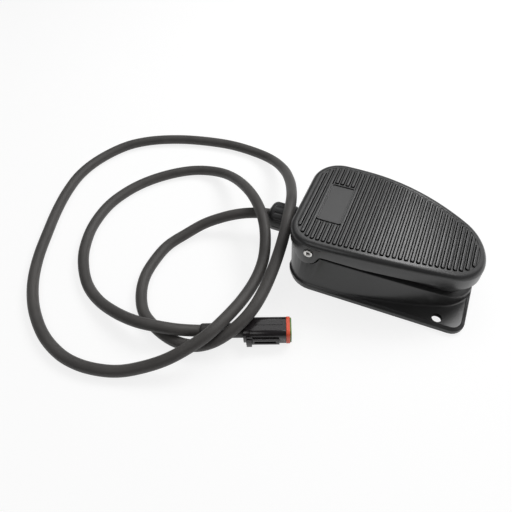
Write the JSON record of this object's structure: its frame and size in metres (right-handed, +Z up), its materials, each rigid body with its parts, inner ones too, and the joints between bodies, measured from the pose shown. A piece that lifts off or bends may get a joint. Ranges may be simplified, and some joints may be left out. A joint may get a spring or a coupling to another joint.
{
  "type": "foot switch",
  "caption": "Low foot switch: ribbed hinged pedal on a flanged housing, snap switch driven by a plunger inside, long round cord from a gland to a sealed two-way connector.",
  "frame": {"origin": "centre of the pedal and housing seen from above, on the floor plane under the bottom cover", "axes": "+X from the cord side towards the toe of the pedal, +Y along the hinge axis, +Z up"},
  "size_m": [0.4569, 0.33, 0.0666],
  "materials": {
    "coated_casting": "satin",
    "coated_sheet": "satin",
    "black_rubber": "matte",
    "bright_steel": "polished",
    "bronze": "satin",
    "brass": "satin",
    "spring_steel": "satin",
    "zinc_steel": "satin",
    "switch_plastic": "matte",
    "button_plastic": "satin",
    "tinned_brass": "satin",
    "gland_nylon": "satin",
    "cord_jacket": "matte",
    "red_insulation": "satin",
    "black_insulation": "satin",
    "shrink_tube": "matte",
    "connector_plastic": "gloss",
    "rear_seal_silicone": "matte",
    "orange_silicone": "satin",
    "green_plastic": "satin",
    "contact_nickel": "satin"
  },
  "bodies": {
    "housing": {"base_housing": "coated_casting", "bottom_cover": "coated_sheet", "cover_gasket": "black_rubber", "cover_screw_1": "zinc_steel", "cover_screw_2": "zinc_steel", "cover_screw_3": "zinc_steel", "cover_screw_4": "zinc_steel", "cover_screw_5": "zinc_steel", "cover_screw_6": "zinc_steel", "hinge_bush_near": "bronze", "hinge_bush_far": "bronze", "return_spring_near": "spring_steel", "return_spring_far": "spring_steel", "rest_pad_near": "black_rubber", "rest_pad_far": "black_rubber", "stop_pad_near": "black_rubber", "stop_pad_far": "black_rubber", "plunger_guide": "brass", "guide_nut": "zinc_steel", "plunger_boot": "black_rubber", "switch_case": "switch_plastic", "lever_pin": "bright_steel", "terminal_com": "tinned_brass", "terminal_no": "tinned_brass", "terminal_nc": "tinned_brass", "switch_bracket": "zinc_steel", "switch_screw_1": "zinc_steel", "switch_screw_2": "zinc_steel", "bracket_screw_1": "zinc_steel", "bracket_screw_2": "zinc_steel", "gland_body": "gland_nylon", "gland_washer": "black_rubber", "gland_locknut": "gland_nylon", "gland_seal": "black_rubber", "gland_nut": "gland_nylon", "cord": "cord_jacket", "lead_com": "red_insulation", "lead_no": "black_insulation", "heat_shrink_sleeve": "shrink_tube", "connector_housing": "connector_plastic", "connector_rear_seal": "rear_seal_silicone", "connector_front_seal": "orange_silicone", "connector_wedge": "green_plastic", "socket_contact_1": "contact_nickel", "socket_contact_2": "contact_nickel"},
    "pedal": {"pedal": "coated_casting", "hinge_pin": "bright_steel", "actuator_screw": "zinc_steel", "actuator_nut": "zinc_steel"},
    "plunger": {"plunger": "bright_steel"},
    "switch_lever": {"switch_lever": "spring_steel"},
    "switch_button": {"switch_button": "button_plastic"}
  },
  "joints": [
    {"name": "pedal_tilt", "type": "hinge", "parent": "housing", "child": "pedal", "pos_m": [-0.0615, 0, 0.0535], "axis": [0, 1, 0], "range_deg": [0, 4.5], "stiffness_Nm_per_rad": 12, "springref_deg": -6.88, "deforming": ["return_spring_near", "return_spring_far"]},
    {"name": "plunger_slide", "type": "slide", "parent": "housing", "child": "plunger", "axis": [0, 0, -1], "range_m": [0, 0.0058], "deforming": ["plunger_boot"]},
    {"name": "lever_swing", "type": "hinge", "parent": "housing", "child": "switch_lever", "pos_m": [-0.0088, 0, 0.0287], "axis": [0, 1, 0], "range_deg": [0, 15.4]},
    {"name": "button_press", "type": "slide", "parent": "housing", "child": "switch_button", "axis": [0, 0, -1], "range_m": [0, 0.0016]}
  ],
  "couplings": [
    {"joint": "plunger_slide", "follows": "pedal_tilt", "m_per_rad": 0.0711},
    {"joint": "lever_swing", "follows": "pedal_tilt", "ratio": 3.38},
    {"joint": "button_press", "follows": "pedal_tilt", "m_per_rad": 0.0191}
  ]
}
